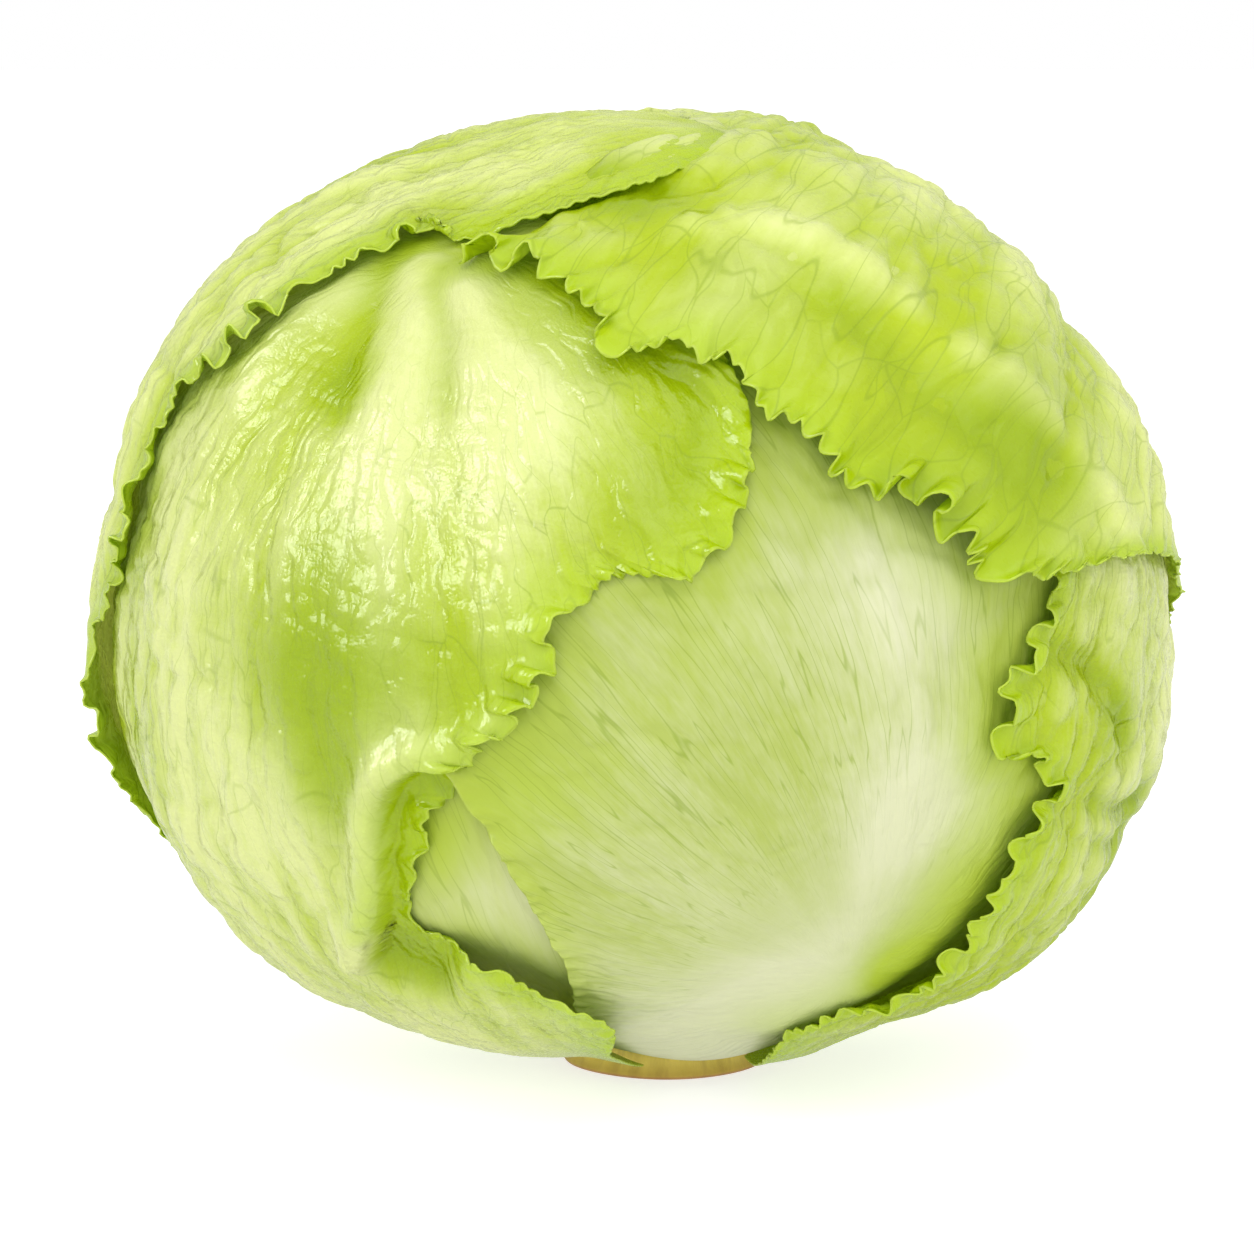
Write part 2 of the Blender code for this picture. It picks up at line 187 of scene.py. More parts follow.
def blisters(p, seed):
    # Cushions between the borders of scattered cells: 0 on a border and 1 inside
    base = np.floor(p).astype(np.int64)
    first = np.full(p.shape[:-1], 9.0)
    second = first.copy()
    for i in (-1, 0, 1):
        for j in (-1, 0, 1):
            cell = (base[..., 0] + i, base[..., 1] + j)
            away = sum((p[..., a] - cell[a] - 0.9 * randomAt(*cell, seed + a)) ** 2 for a in (0, 1))
            second = np.minimum(second, np.maximum(first, away))
            first = np.minimum(first, away)
    return smoothStep((np.sqrt(second) - np.sqrt(first)) / 0.45)


# The head and the layers of its leaves: each is the distance from the head's centre
def lumps(d):
    # Two products of sines: broad swellings that all the leaves share
    x, y, z = d[..., 0], d[..., 1], d[..., 2]
    return (0.9 * np.sin(5.1 * x + 3.2 * z + 0.6) * np.sin(4.3 * y - 2.1 * z + 1.1)
            + 0.6 * np.sin(8.7 * z - 4.9 * x + 2.0) * np.sin(7.7 * x + 5.5 * y))


def headRadius(d):
    # A ball with a rounder top than bottom, and three broad hills
    h = np.hypot(d[..., 0] / head["halfWidth"], d[..., 1] / head["halfDepth"])
    above = d[..., 2] > 0
    z = np.abs(d[..., 2]) / np.where(above, head["above"], head["below"])
    power = np.where(above, head["topPower"], head["bottomPower"])
    radius = (h**power + z**power) ** (-1 / power)
    radius += hills(d, [(-92, 52, 22, 3.0), (95, 30, 20, -3.2), (60, 60, 18, -1.0)])
    return radius + lumps(d) * smoothStep((0.95 + d[..., 2]) / 0.25)


def innerLeftRadius(d):
    # The head, less its depth, swollen at the base
    return headRadius(d) - depths["innerLeft"] + 5.5 * hill(d, -14, -72, 16)


def frontRadius(d):
    # The head, less its depth, with a broad rib that swells towards the base
    azimuth = np.degrees(np.arctan2(d[..., 0], -d[..., 1]))
    fromRib = (azimuth - 31) * np.sqrt(1 - d[..., 2] ** 2)
    rib = np.exp(-((fromRib / 10) ** 2)) * smoothStep((0.1 - d[..., 2]) / 0.9)
    return headRadius(d) - depths["front"] + 6.0 * hill(d, 25, -74, 20) + 1.4 * rib


def lipAndPanel(d):
    # A ridge along the left leaf's folded lip, and the panel sunk between it and the margin
    side, past = nearCurve(d, [(-14, -6.5), (-19, -10), (-23.5, -10.5), (-27.5, -13.5), (-30, -20.5),
                               (-32.5, -28), (-38, -36)], 22)
    ends = np.exp(-((past / 4) ** 2))
    lip = np.exp(-(((side - 2.2) / 2.6) ** 2)) * ends
    panel = smoothStep(-side / 1.8) * (1 - smoothStep((-side - 11) / 6)) * ends
    return lip, panel


def leftRadius(d):
    # The head, less its depth, with pleats and the folded lip
    own = headRadius(d) - depths["middle"] + 3.0 * hill(d, -42, -66, 20)
    own = own + ridges(d, (-33, 50), (-12, -80), 9, 0.5)
    lip, panel = lipAndPanel(d)
    return higher(own + 2.4 * lip - 4.2 * panel, frontRadius(d) + clearance - 3.0 * panel)


def rightRadius(d):
    # The head, less its depth, with hills and hollows of its own, and clear of the front leaf
    own = headRadius(d) - depths["middle"]
    own = own + hills(d, [(60, -50, 24, 2.0), (44, -66, 9, 3.5), (92, -18, 30, 3.6), (25, 10, 16, -2.5),
                          (58, -2, 5, -1.3), (60, -20, 5, -1.3)])
    return higher(own, frontRadius(d) + clearance)


def backRadius(d):
    # The head, less its depth
    return headRadius(d) - depths["middle"]


def topLeftRadius(d):
    # The head, less its depth, with a hollow at its front edge and pleats, and clear of the left leaf
    own = headRadius(d) - depths["topLeft"] - 1.6 * hill(d, -22, 54, 12)
    own = own + ridges(d, (-120, -60), (-50, 84), 7, 0.45)
    return higher(own, leftRadius(d) + clearance)


def topRightRadius(d):
    # The outermost leaf, which sinks to what it lies on near its front edge. It lies on the top left
    # leaf at the side and the back, and under it at the crown
    own = headRadius(d) - depths["topRight"]
    own = own + hills(d, [(18, 22, 26, -3.0), (32, 10, 12, -1.5), (-8, 60, 10, -1.8),
                          (85, 0, 22, -1.5)])
    own = own + ridges(d, (108, -20), (-60, 30), 7, 0.5)
    own = own + hills(d, [(197, 2, 20, 1.6), (197, 38, 14, 1.2)])
    underLeft = leftRadius(d) - 5 * hill(d, 32, 12, 14)
    gap = clearance - 0.6 * hill(d, 85, 0, 22)
    radius = higher(own, higher(underLeft, rightRadius(d)) + gap)
    liesOn = smoothStep((d @ direction(-110, 55) - 0.54) / 0.055)
    return higher(radius, topLeftRadius(d) + clearance * (2 * liesOn - 1))


def footOnStem(azimuth):
    # Direction from the head's centre to a leaf's base, beside the stem
    foot = direction(azimuth, 0) * (stemFoot["radius"] + stemFoot["gap"])
    return unit(foot + np.array([0, 0, stemFoot["height"]]) - head["centre"])


def along(azimuth, points, part):
    # Smooth curve from a leaf's base through outline points: direction, length and frill height
    points = np.array(points, float)
    p = np.concatenate([[footOnStem(azimuth)], direction(points[:, 0], points[:, 1])])
    curve, t = curveThrough(p, 900)
    lengths = np.concatenate([[0], np.cumsum(np.linalg.norm(np.diff(curve, axis=0), axis=1))])
    s = part * lengths[-1]
    here = unit(np.stack([np.interp(s, lengths, curve[:, i]) for i in range(3)], axis=-1))
    frill = np.concatenate([[0], points[:, 2]]) if points.shape[1] == 3 else np.zeros(len(p))
    return here, s * head["halfWidth"], np.interp(np.interp(s, lengths, t), np.arange(len(p)), frill)


def leafDirections(leaf, across, up):
    # Each row of a leaf is a parabola through its front margin (-1), rib (0) and back margin (1)
    front, frontLength, frill = along(leaf["base"][0], leaf["front"], up)
    rib, _, _ = along(leaf["base"][1], leaf["rib"], up)
    back, backLength, _ = along(leaf["base"][2], leaf["back"], up)
    w = across[..., None]
    d = unit(front * (w * (w - 1) / 2) + rib * (1 - w * w) + back * (w * (w + 1) / 2))
    isFront = across < 0
    margin = np.where(isFront[..., None], front, back)
    fromMargin = np.arccos(np.clip(np.sum(d * margin, axis=-1), -1, 1)) * head["halfWidth"]
    length = np.where(isFront, frontLength, backLength)
    return d, fromMargin, length, np.where(isFront, frill, leaf["backFrill"])


def flowAt(d, leaf):
    # Place in the leaf's vein flow, in mm: how far along it and how far across it
    start, end = leaf["flow"]
    arc = flowMap(d, start, end)
    turn = arc.imag
    turn = turn + (np.unwrap(turn[:, 0]) - turn[:, 0])[:, None]
    turn = np.unwrap(turn, axis=1)
    apart = np.arccos(np.clip(direction(*start) @ direction(*end), -1, 1))
    size = head["halfWidth"] * np.tan(apart / 4)
    return np.stack([arc.real * size, turn * size], axis=-1)


def wander(length, spacing, seed):
    # A count of uneven steps along a margin, and a random height for each place
    place = np.stack([length / (1.6 * spacing), 0 * length], axis=-1)
    return length / spacing + 0.5 * softNoise(place, seed), 0.5 + 0.5 * softNoise(place * 0.9, seed + 1)


def leafPoints(leaf, across, up):
    # Outer face: layer radius, plus a frill that rises and folds towards the margin, plus pleats and
    # blisters along the veins, plus a rise under the margins above. The teeth and the frill's folds
    # also move the border sideways. Next to it come the flow and the tone that the colours read
    d, fromMargin, length, frill = leafDirections(leaf, across, up)
    base = head["centre"] + d * leaf["radius"](d)[..., None]
    ahead = unit(np.gradient(base, axis=0))
    outward = np.gradient(base, axis=1) * np.sign(across + 1e-9)[..., None]
    outward = unit(outward - ahead * np.sum(outward * ahead, axis=-1, keepdims=True))
    fade = smoothStep((up - 0.05) / 0.12)
    near = smoothStep(1 - fromMargin / blade["frillReach"]) * fade
    edge = smoothStep(1 - fromMargin / (blade["edgeReach"] * (0.7 + 0.18 * frill))) * fade
    brim = smoothStep(1 - fromMargin / blade["brimReach"]) * fade

    # Teeth of two sizes, hollow-sided and pointed
    count, size = wander(length, blade["toothSpacing"], 51)
    large = np.abs((count % 1) * 2 - 1) ** 1.6 * (0.1 + 1.8 * size**2)
    count, size = wander(length, blade["smallToothSpacing"], 53)
    small = np.abs((count % 1) * 2 - 1) ** 1.2 * (3.2 * size - 1.1).clip(0, 2)
    toothed = np.where(across < 0, *leaf["teeth"]) * np.clip(frill / 1.2, 0, 1)
    push = toothed * blade["toothLength"] * near**3 * (large - 0.3)
    push += toothed * blade["smallToothLength"] * edge**2 * small

    # The frill: broad lift, folds that lean over, and small ripples at the brim
    count, size = wander(length, blade["frillSpacing"], 57)
    fold = 2 * np.pi * count
    broad, _ = wander(length, blade["broadSpacing"], 61)
    ripple, _ = wander(length, blade["rippleSpacing"], 63)
    ripple = np.sin(2 * np.pi * ripple)
    lift = frill * near * (0.16 + 0.16 * np.sin(2 * np.pi * broad))
    size = 0.12 + 1.7 * size**2
    lift += frill * edge * (0.36 + 0.42 * np.sin(fold)) * size
    lift += (0.12 * frill + 0.15) * brim * (ripple + 0.5)
    slide = -0.24 * frill * edge * np.sin(2 * fold) * size
    push += frill * edge * (0.04 - 0.36 * np.sin(fold + 0.6) * size)
    push -= 0.1 * frill * brim * ripple

    flow = flowAt(d, leaf)
    relief = leaf["relief"]
    pleats = softNoise(flow / patterns["pleats"], 3) + 0.2 * softNoise(flow / patterns["finePleats"], 5)
    dents = softNoise(flow / patterns["dents"], 7) + 0.6 * softNoise(flow / patterns["fineDents"], 8)
    bend = np.stack([softNoise(flow / patterns["bend"], seed) for seed in (11, 12)], axis=-1)
    cushions = blisters(flow / patterns["cushions"] + 0.4 * bend, 13)
    small = blisters(flow / patterns["small"] + 0.5 * bend, 19)
    calm = smoothStep((up - 0.03) / 0.2)
    alongRows = [np.linalg.norm(np.gradient(values, axis=0), axis=-1) for values in (flow, base)]
    crowd = np.clip(alongRows[0] / alongRows[1], 1, 8)
    detail = relief["pleats"] * pleats / crowd + relief["dents"] * dents / crowd
    detail += (relief["cushions"] * (cushions - 0.6) + relief["small"] * (small - 0.6)) / crowd**1.3
    detail = detail * calm
    creased = folds(d, leaf.get("folds", []))
    tuck = leaf.get("tuck", 0) * smoothStep((up - 0.9) / 0.1)
    nearMarginsAbove = underEdges(d, leaf.get("under", []))
    rise = lift + detail + creased - tuck + leaf.get("fill", 0) * nearMarginsAbove
    points = base + d * rise[..., None] + outward * push[..., None] + ahead * slide[..., None]

    # How pale: the leaf's own places, streaks and patches, and more on what stands up, which is painted
    # light on raised relief
    tone = leaf["tone"]
    streak = 0.5 + 0.55 * softNoise(flow / patterns["streaks"], 71)
    streak = smoothStep(streak + 0.35 * softNoise(flow / patterns["fineStreaks"], 73))
    patch = smoothStep(0.5 + 0.6 * softNoise(flow / patterns["patches"], 77))
    streak = 0.5 + (streak - 0.5) / crowd
    pale = hills(d, leaf["pale"]) + tone["streaks"] * streak + tone["patches"] * patch
    # Paler on raised relief and fold ridges, deeper green in creases: painted light and painted shade
    pale = pale + tone["high"] * detail + 0.5 * tone["high"] * creased
    # Deep green: the leaf's own greener places, plus painted shade under the margins of the leaves
    # above and in the creases
    deep = hills(d, leaf["deep"]) + 0.5 * nearMarginsAbove - 0.3 * creased
    # Painted light on the folded lip and painted shade on the panel sunk beside it
    if leaf.get("panel"):
        lip, panel = lipAndPanel(d)
        pale += 0.7 * lip
        deep += panel - 0.5 * lip
    flow = np.concatenate([flow, crowd[..., None]], axis=-1)
    return points, flow, np.stack([fromMargin, pale, deep], axis=-1)


def fillMesh(name, points, faces, attributes):
    # An object from its points in mm, its faces, and the values that its material reads
    mesh = bpy.data.meshes.new(name)
    mesh.from_pydata((points * mm).tolist(), [], faces)
    for key, values in attributes.items():
        layer = mesh.attributes.new(key, "FLOAT_VECTOR", "POINT")
        layer.data.foreach_set("vector", values.astype(np.float32).ravel())
    mesh.shade_smooth()
    mesh.update()
    obj = bpy.data.objects.new(name, mesh)
    bpy.context.scene.collection.objects.link(obj)
    return obj


def gridFaces(index):
    # The four-sided faces of a grid of vertex numbers
    a, b = index[:-1, :-1], index[:-1, 1:]
    c, e = index[1:, 1:], index[1:, :-1]
    return np.stack([a, b, c, e], axis=-1).reshape(-1, 4)


def makeLeaf(name, leaf, material, node):
    # Outer face on a fine grid, inner face on fewer of its columns, a thickness further in
    columns, rows = leaf["grid"]
    t = np.linspace(-1, 1, columns)
    level = np.linspace(0, 1, 400)
    place, width, strength = leaf["focus"]
    share = np.cumsum(1 + strength * np.exp(-(((level - place) / width) ** 2)))
    levels = np.interp(np.linspace(share[0], share[-1], rows), share, level)
    across, up = np.meshgrid(t + 0.33 * (t - t**3), levels)
    points, flow, tone = leafPoints(leaf, across, up)
    normal = unit(np.cross(np.gradient(points, axis=1), np.gradient(points, axis=0)))
    inward = np.sum(normal * (points - head["centre"])) < 0
    normal = -normal if inward else normal

    last = columns - 5
    kept = np.unique(np.concatenate([np.arange(0, 10), np.arange(10, last, leaf["innerStep"]),
                                     np.arange(last, columns)]))
    ribbed = (1 - smoothStep(np.abs(across) / 0.4)) * (1 - smoothStep(up / 0.6))
    thickness = blade["thin"] + (blade["thick"] - blade["thin"]) * smoothStep(tone[..., 0] / 9)
    thickness = thickness + blade["rib"] * ribbed
    inner = (points - normal * thickness[..., None])[:, kept]

    outerIndex = np.arange(points[..., 0].size).reshape(rows, columns)
    innerIndex = np.arange(inner[..., 0].size).reshape(rows, len(kept)) + outerIndex.size
    outerFaces, innerFaces = gridFaces(outerIndex), gridFaces(innerIndex)
    left = np.stack([innerIndex[:-1, 0], outerIndex[:-1, 0],
                     outerIndex[1:, 0], innerIndex[1:, 0]], axis=-1)
    right = np.stack([outerIndex[:-1, -1], innerIndex[:-1, -1],
                      innerIndex[1:, -1], outerIndex[1:, -1]], axis=-1)
    faces = np.concatenate([outerFaces, innerFaces[:, ::-1], left, right]).tolist()
    for j in range(len(kept) - 1):
        span = np.arange(kept[j], kept[j + 1] + 1)
        faces.append(innerIndex[0, j:j + 2].tolist() + outerIndex[0, span[::-1]].tolist())
        faces.append(innerIndex[-1, j:j + 2][::-1].tolist() + outerIndex[-1, span].tolist())
    if inward:
        faces = [face[::-1] for face in faces]

    def both(values):
        size = values.shape[-1]
        return np.concatenate([values.reshape(-1, size), values[:, kept].reshape(-1, size)])

    everyPoint = np.concatenate([points.reshape(-1, 3), inner.reshape(-1, 3)])
    obj = fillMesh(name, everyPoint, faces, dict(flow=both(flow), tone=both(tone)))
    obj.data.materials.append(material)
    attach(obj, "root")
    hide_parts(node)
    print("made", name, sum(len(face) - 2 for face in faces), "triangles")


# Shader node groups
def newGroup(name, inputs, outputs):
    # An empty node group with named inputs, their first values, and named outputs
    group = bpy.data.node_groups.new(name, "ShaderNodeTree")
    for label, kind, value in inputs:
        socket = group.interface.new_socket(label, in_out="INPUT", socket_type=kind)
        if value is not None:
            socket.default_value = value
    for label, kind in outputs:
        group.interface.new_socket(label, in_out="OUTPUT", socket_type=kind)
    return group, group.nodes.new("NodeGroupInput"), group.nodes.new("NodeGroupOutput")


def addNode(tree, kind, values=(), **settings):
    # A node with its settings, and its inputs filled with links or values
    node = tree.nodes.new(kind)
    for key, value in settings.items():
        setattr(node, key, value)
    for place, value in dict(values).items():
        if isinstance(value, bpy.types.NodeSocket):
            tree.links.new(value, node.inputs[place])
        else:
            node.inputs[place].default_value = value
    return node


def maths(tree, operation, a, b=0.5, clamp=False):
    # One sum on two values
    node = addNode(tree, "ShaderNodeMath", {0: a, 1: b}, operation=operation)
    node.use_clamp = clamp
    return node.outputs[0]


def spread(tree, value, low, high, toLow=0.0, toHigh=1.0):
    # Smoothly maps a range of one value to another range
    node = addNode(tree, "ShaderNodeMapRange", {
        "Value": value, "From Min": low, "From Max": high, "To Min": toLow, "To Max": toHigh},
        interpolation_type="SMOOTHSTEP")
    return node.outputs["Result"]


def blendColour(tree, factor, a, b):
    # From colour a at factor 0 to colour b at 1
    return addNode(tree, "ShaderNodeMix", {0: factor, 6: a, 7: b}, data_type="RGBA").outputs[2]


def stretched(tree, vector, lengthwise, sideways):
    # The flow coordinates divided by a length along the veins and a width across them
    scale = (1 / lengthwise, 1 / sideways, 1 / sideways)
    return addNode(tree, "ShaderNodeVectorMath", {0: vector, 1: scale}, operation="MULTIPLY").outputs[0]


def cellPlace(group, flow, start):
    # The flow coordinates counted in cells of the group's length and width
    sizes = addNode(group, "ShaderNodeCombineXYZ", {
        0: start.outputs["Length"], 1: start.outputs["Width"], 2: 1.0})
    return addNode(group, "ShaderNodeVectorMath", {0: flow, 1: sizes.outputs[0]},
                   operation="DIVIDE").outputs[0]


def makeVeinGroup():
    # Thin branching veins: borders of cells stretched along the flow and bent by noise, which fade in
    # and out, and the cushions between them
    group, start, end = newGroup("leaf veins", [
        ("Flow", "NodeSocketVector", None), ("Length", "NodeSocketFloat", 20.0),
        ("Width", "NodeSocketFloat", 4.0), ("Bend", "NodeSocketFloat", 1.5),
        ("Line", "NodeSocketFloat", 0.05), ("Share", "NodeSocketFloat", 0.5)],
        [("Lines", "NodeSocketFloat"), ("Cushion", "NodeSocketFloat")])
    flow = start.outputs["Flow"]
    broad = addNode(group, "ShaderNodeTexNoise", {
        "Vector": flow, "Scale": 0.07, "Detail": 1.5, "Roughness": 0.4}, noise_dimensions="2D")
    offset = addNode(group, "ShaderNodeVectorMath", {0: broad.outputs["Color"], 1: (0.5, 0.5, 0.5)},
                     operation="SUBTRACT")
    push = addNode(group, "ShaderNodeVectorMath", {0: offset.outputs[0]}, operation="SCALE")
    group.links.new(maths(group, "MULTIPLY", start.outputs["Bend"], 4.0), push.inputs["Scale"])
    bent = addNode(group, "ShaderNodeVectorMath", {0: flow, 1: push.outputs[0]}, operation="ADD")
    cells = cellPlace(group, bent.outputs[0], start)
    border = addNode(group, "ShaderNodeTexVoronoi", {"Vector": cells, "Scale": 1.0, "Randomness": 0.85},
                     feature="DISTANCE_TO_EDGE", voronoi_dimensions="2D").outputs["Distance"]
    lines = spread(group, border, 0.0, start.outputs["Line"], 1.0, 0.0)
    fading = spread(group, maths(group, "ADD", broad.outputs["Fac"], start.outputs["Share"]), 0.85, 1.1)
    group.links.new(maths(group, "MULTIPLY", lines, fading), end.inputs["Lines"])
    group.links.new(spread(group, border, 0.0, 0.3), end.inputs["Cushion"])
    return group


def makeFineVeinGroup():
    # Long thin veins: where noise stretched along the flow crosses its middle value
    group, start, end = newGroup("fine leaf veins", [
        ("Flow", "NodeSocketVector", None), ("Length", "NodeSocketFloat", 30.0),
        ("Width", "NodeSocketFloat", 3.0), ("Line", "NodeSocketFloat", 0.03)],
        [("Lines", "NodeSocketFloat")])
    place = cellPlace(group, start.outputs["Flow"], start)
    noise = addNode(group, "ShaderNodeTexNoise", {
        "Vector": place, "Scale": 1.0, "Detail": 0.6, "Roughness": 0.4}, noise_dimensions="2D")
    away = maths(group, "ABSOLUTE", maths(group, "SUBTRACT", noise.outputs["Fac"], 0.5))
    group.links.new(spread(group, away, 0.0, start.outputs["Line"], 1.0, 0.0), end.inputs["Lines"])
    return group


veinGroup = makeVeinGroup()
fineVeinGroup = makeFineVeinGroup()


def leafMaterial(name, look):
    # Colour from green to pale by the leaf's tone, and to deep green where the tone marks the leaf's
    # greener places and painted shade; dark thin veins, a bright border and a painted glow on the thin
    # rim; waxy, and it lets light through
    material = bpy.data.materials.new(name)
    material.use_nodes = True
    tree = material.node_tree
    tree.nodes.clear()
    flow = addNode(tree, "ShaderNodeAttribute", attribute_name="flow").outputs["Vector"]
    tone = addNode(tree, "ShaderNodeAttribute", attribute_name="tone").outputs["Vector"]
    parts = addNode(tree, "ShaderNodeSeparateXYZ", {0: tone})
    margin, pale, deep = parts.outputs
    veins = addNode(tree, "ShaderNodeGroup", node_tree=veinGroup)
    fine = addNode(tree, "ShaderNodeGroup", node_tree=fineVeinGroup)
    for group, sizes in ((veins, look["veins"]), (fine, look["fine"])):
        tree.links.new(flow, group.inputs["Flow"])
        for label, value in sizes.items():
            group.inputs[label].default_value = value
    crease = addNode(tree, "ShaderNodeTexNoise", {
        "Vector": stretched(tree, flow, 6.0, 1.0), "Scale": 1.0, "Detail": 2.0, "Roughness": 0.6},
        noise_dimensions="2D")
    tiny = addNode(tree, "ShaderNodeTexNoise", {
        "Vector": flow, "Scale": 0.9, "Detail": 1.0, "Roughness": 0.6}, noise_dimensions="2D")

    crowd = addNode(tree, "ShaderNodeSeparateXYZ", {0: flow}).outputs[2]
    calm = spread(tree, crowd, 1.2, 3.0, 1.0, 0.2)
    fibre = maths(tree, "MULTIPLY", maths(tree, "SUBTRACT", crease.outputs["Fac"], 0.5), look["fibres"])
    fibre = maths(tree, "MULTIPLY", fibre, calm)
    paleness = maths(tree, "SUBTRACT", pale, maths(tree, "MULTIPLY", deep, 0.6))
    paleness = maths(tree, "ADD", paleness, fibre, clamp=True)
    colour = blendColour(tree, paleness, look["green"], look["paleColour"])
    # Deep green stands for the leaf's greener places and for painted shade
    deepness = maths(tree, "MULTIPLY", deep, 1.0, clamp=True)
    colour = blendColour(tree, deepness, colour, look["deepColour"])
    border = spread(tree, margin, 0.0, look["borderWidth"], look["border"], 0.0)
    colour = blendColour(tree, border, colour, look["borderColour"])
    # Painted glow of light through the thin margin, within half a millimetre of its border
    colour = blendColour(tree, spread(tree, margin, 0.1, 0.5, 0.25, 0.0), colour, look["paintedGlowRimColour"])
    faded = 1 - look["veinFade"]
    line = maths(tree, "MULTIPLY", veins.outputs["Lines"], spread(
        tree, pale, 0.4, 1.2, look["veinStrength"], look["veinStrength"] * faded))
    fineLine = maths(tree, "MULTIPLY", fine.outputs["Lines"], spread(
        tree, pale, 0.4, 1.2, look["fineStrength"], look["fineStrength"] * faded))
    line = maths(tree, "MULTIPLY", maths(tree, "MAXIMUM", line, fineLine), calm)
    colour = blendColour(tree, line, colour, look["veinColour"])

    # Relief in the light: veins sunk between cushions, fine creases along the flow, tiny bumps
    height = maths(tree, "MULTIPLY", veins.outputs["Cushion"], look["cushion"])
    height = maths(tree, "ADD", height, maths(tree, "MULTIPLY", crease.outputs["Fac"], look["creases"]))
    height = maths(tree, "ADD", height, maths(tree, "MULTIPLY", tiny.outputs["Fac"], look["tiny"]))
    bump = addNode(tree, "ShaderNodeBump", {"Height": height, "Strength": spread(
        tree, crowd, 1.0, 3.0, look["bump"], look["bump"] * 0.35), "Distance": 0.001})

    roughness = spread(tree, tiny.outputs["Fac"], 0.3, 0.7,
                       look["roughness"] - 0.06, look["roughness"] + 0.1)
    skin = addNode(tree, "ShaderNodeBsdfPrincipled", {
        "Base Color": colour, "Roughness": roughness, "Normal": bump.outputs[0]})
    skin.inputs["Specular IOR Level"].default_value = look["shine"]
    glow = addNode(tree, "ShaderNodeBsdfTranslucent", {"Color": colour, "Normal": bump.outputs[0]})
    mixed = addNode(tree, "ShaderNodeMixShader", {
        0: look["translucent"], 1: skin.outputs[0], 2: glow.outputs[0]})
    addNode(tree, "ShaderNodeOutputMaterial", {0: mixed.outputs[0]})
    return material


outerLook = dict(
    green=(0.53, 0.66, 0.012, 1), paleColour=(0.78, 0.84, 0.32, 1),
    deepColour=(0.36, 0.50, 0.002, 1), borderColour=(0.47, 0.63, 0.003, 1),
    paintedGlowRimColour=(0.70, 0.80, 0.2, 1), veinColour=(0.27, 0.39, 0.004, 1),
    borderWidth=15.0, border=0.85, fibres=0.3, translucent=0.38,
    veins=dict(Length=12.0, Width=3.8, Bend=2.6, Line=0.035, Share=0.6),
    fine=dict(Length=24.0, Width=3.4, Line=0.02),
    veinStrength=0.42, fineStrength=0.45, veinFade=0.3,
    cushion=0.35, creases=0.1, tiny=0.1, bump=0.6, roughness=0.28, shine=0.42)
topLeftLook = dict(
    outerLook, veinStrength=0.25, fineStrength=0.3, creases=0.2, shine=0.5, roughness=0.24)
glossyLook = dict(
    outerLook, green=(0.50, 0.63, 0.01, 1), paleColour=(0.78, 0.83, 0.36, 1), fibres=0.4,
    veins=dict(Length=22.0, Width=5.0, Bend=2.4, Line=0.03, Share=0.5),
    fine=dict(Length=26.0, Width=4.4, Line=0.014),
    veinStrength=0.45, fineStrength=0.32,
    cushion=0.4, tiny=0.2, roughness=0.2, shine=0.45)
paleLook = dict(
    outerLook, green=(0.50, 0.585, 0.14, 1), paleColour=(0.77, 0.785, 0.53, 1),
    deepColour=(0.50, 0.63, 0.05, 1), borderColour=(0.49, 0.60, 0.05, 1),
    veinColour=(0.30, 0.41, 0.03, 1),
    borderWidth=8.0, border=0.5, fibres=0.45,
    veins=dict(Length=34.0, Width=4.4, Bend=2.4, Line=0.03, Share=0.42),
    fine=dict(Length=40.0, Width=2.2, Line=0.024),
    veinStrength=0.04, fineStrength=0.55, veinFade=0.75,
    cushion=0.2, creases=0.12, tiny=0.06, bump=0.55, roughness=0.34, shine=0.3)
innerLook = dict(
    paleLook, green=(0.60, 0.66, 0.18, 1), paleColour=(0.77, 0.79, 0.50, 1),
    borderColour=(0.56, 0.64, 0.08, 1))
materials = dict(
    outer=leafMaterial("outer leaf", outerLook), topLeft=leafMaterial("top left leaf", topLeftLook),
    glossy=leafMaterial("glossy leaf", glossyLook), front=leafMaterial("front leaf", paleLook),
    inner=leafMaterial("inner leaf", innerLook))
print("materials made")


